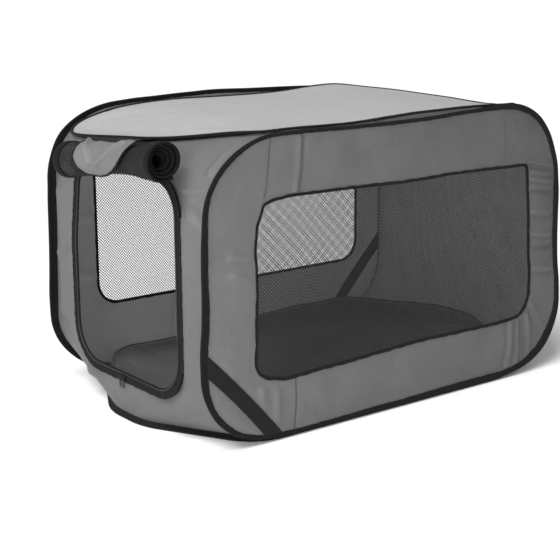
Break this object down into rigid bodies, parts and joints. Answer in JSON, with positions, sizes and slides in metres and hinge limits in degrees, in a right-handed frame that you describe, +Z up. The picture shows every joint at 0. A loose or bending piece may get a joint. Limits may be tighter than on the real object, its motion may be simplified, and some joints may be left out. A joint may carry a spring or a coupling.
{
  "type": "soft folding dog crate",
  "caption": "Pop-open cloth dog crate on sprung hoops, with mesh windows, corner straps, a floor mat and a mesh door rolled up over its doorway.",
  "frame": {"origin": "middle of the floor cloth's underside, on the ground", "axes": "+X from the door end to the rear end, +Y to the left as seen from the door, +Z up"},
  "size_m": [0.9968, 0.564, 0.58],
  "materials": {
    "grey_cloth": "woven polyester, matt mid grey",
    "light_cloth": "woven polyester, matt light grey",
    "tape": "black folded woven tape",
    "webbing": "black webbing",
    "mesh": "black open mesh",
    "mat": "dark brushed cloth over foam",
    "spring_steel": "bare flat spring wire",
    "zip_metal": "dark enamelled zip metal"
  },
  "bodies": {
    "base": {"base_binding": "tape", "base_hoop_wire": "spring_steel", "base_hoop_ferrule": "spring_steel", "floor_panel": "grey_cloth", "floor_mat": "mat", "front_end_panel": "grey_cloth", "door_zip_tape": "tape", "rear_end_panel": "grey_cloth"},
    "right_side": {"right_binding": "tape", "right_hoop_wire": "spring_steel", "right_hoop_ferrule": "spring_steel", "right_side_panel": "grey_cloth", "right_window_binding": "tape", "right_window_mesh": "mesh", "right_corner_strap": "webbing"},
    "left_side": {"left_binding": "tape", "left_hoop_wire": "spring_steel", "left_hoop_ferrule": "spring_steel", "left_side_panel": "grey_cloth", "left_window_binding": "tape", "left_window_mesh": "mesh", "left_corner_strap": "webbing"},
    "roof": {"top_binding": "tape", "top_hoop_wire": "spring_steel", "top_hoop_ferrule": "spring_steel", "top_panel": "light_cloth", "rolled_door": "mesh"},
    "flap": {"keeper_flap": "light_cloth"},
    "right_slider": {"right_zip_slider": "zip_metal"},
    "left_slider": {"left_zip_slider": "zip_metal"},
    "right_pull": {"right_zip_pull": "zip_metal"},
    "left_pull": {"left_zip_pull": "zip_metal"}
  },
  "joints": [
    {"name": "collapse", "type": "hinge", "parent": "base", "child": "right_side", "pos_m": [0, -0.27685, 0.00515], "axis": [-1, 0, 0], "range_deg": [0, 88], "stiffness_Nm_per_rad": 12, "deforming": ["front_end_panel", "door_zip_tape", "rear_end_panel", "rolled_door", "keeper_flap", "floor_mat"]},
    {"name": "left_side_lean", "type": "hinge", "parent": "base", "child": "left_side", "pos_m": [0, 0.27685, 0.00515], "axis": [-1, 0, 0], "range_deg": [0, 88], "deforming": ["front_end_panel", "door_zip_tape", "rear_end_panel", "rolled_door", "keeper_flap", "floor_mat"]},
    {"name": "roof_level", "type": "hinge", "parent": "right_side", "child": "roof", "pos_m": [0, -0.27685, 0.57485], "axis": [-1, 0, 0], "range_deg": [-88, 0], "deforming": ["front_end_panel", "door_zip_tape", "rear_end_panel", "rolled_door", "keeper_flap", "floor_mat"]},
    {"name": "flap_lift", "type": "hinge", "parent": "roof", "child": "flap", "pos_m": [-0.4557, 0, 0.5795], "axis": [0, 1, 0], "range_deg": [0, 120]},
    {"name": "right_slider_travel", "type": "slide", "parent": "base", "child": "right_slider", "axis": [0, -1, 0], "range_m": [0, 0.1]},
    {"name": "left_slider_travel", "type": "slide", "parent": "base", "child": "left_slider", "axis": [0, 1, 0], "range_m": [0, 0.1]},
    {"name": "right_pull_swing", "type": "hinge", "parent": "right_slider", "child": "right_pull", "pos_m": [-0.459, -0.0055, 0.086], "axis": [0, 1, 0], "range_deg": [0, 100]},
    {"name": "left_pull_swing", "type": "hinge", "parent": "left_slider", "child": "left_pull", "pos_m": [-0.459, 0.0055, 0.086], "axis": [0, 1, 0], "range_deg": [0, 100]}
  ],
  "couplings": [
    {"joint": "left_side_lean", "follows": "collapse", "ratio": 1},
    {"joint": "roof_level", "follows": "collapse", "ratio": -1}
  ]
}
